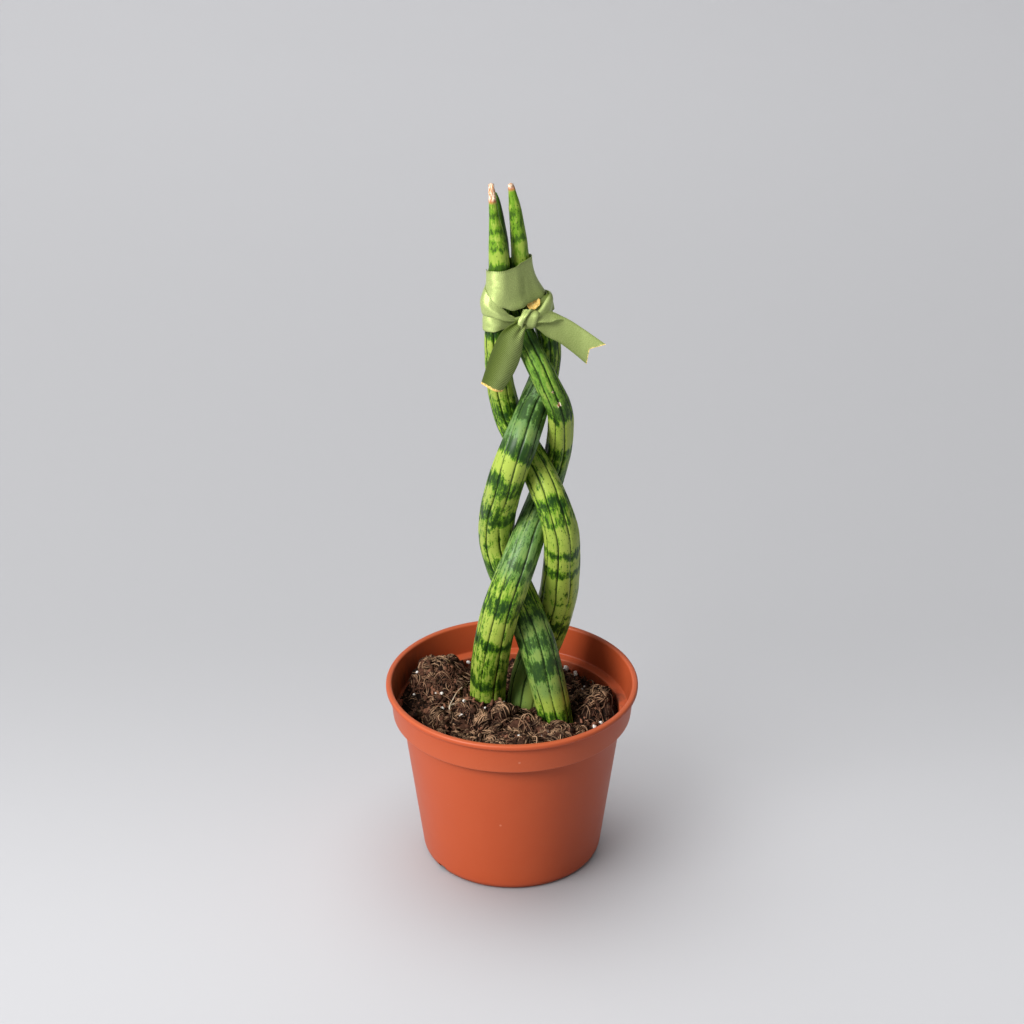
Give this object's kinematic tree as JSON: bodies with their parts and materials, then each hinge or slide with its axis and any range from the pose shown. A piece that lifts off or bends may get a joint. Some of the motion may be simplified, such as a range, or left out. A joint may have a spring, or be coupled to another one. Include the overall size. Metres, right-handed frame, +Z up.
{
  "type": "cylindrical snake plant",
  "caption": "Braided cylindrical succulent leaves standing in a tapered nursery pot of soil, tied together near their tips with satin ribbon.",
  "frame": {"origin": "middle of the pot's foot, on the surface that it stands on", "axes": "+Z up along the plant, -Y towards the front with the knot of the ribbon, +X to the right"},
  "size_m": [0.12, 0.12, 0.3393],
  "materials": {
    "pot_plastic": "satin terracotta-coloured plastic, thin and slightly shiny",
    "soil": null,
    "leaf": null,
    "ribbon": "pale olive-green satin ribbon with a fine cross rib"
  },
  "bodies": {
    "root": {"pot": "pot_plastic", "soil": "soil", "leaf_left": "leaf", "leaf_right": "leaf", "leaf_back": "leaf", "ribbon_wrap": "ribbon", "ribbon_tie": "ribbon"}
  },
  "joints": []
}
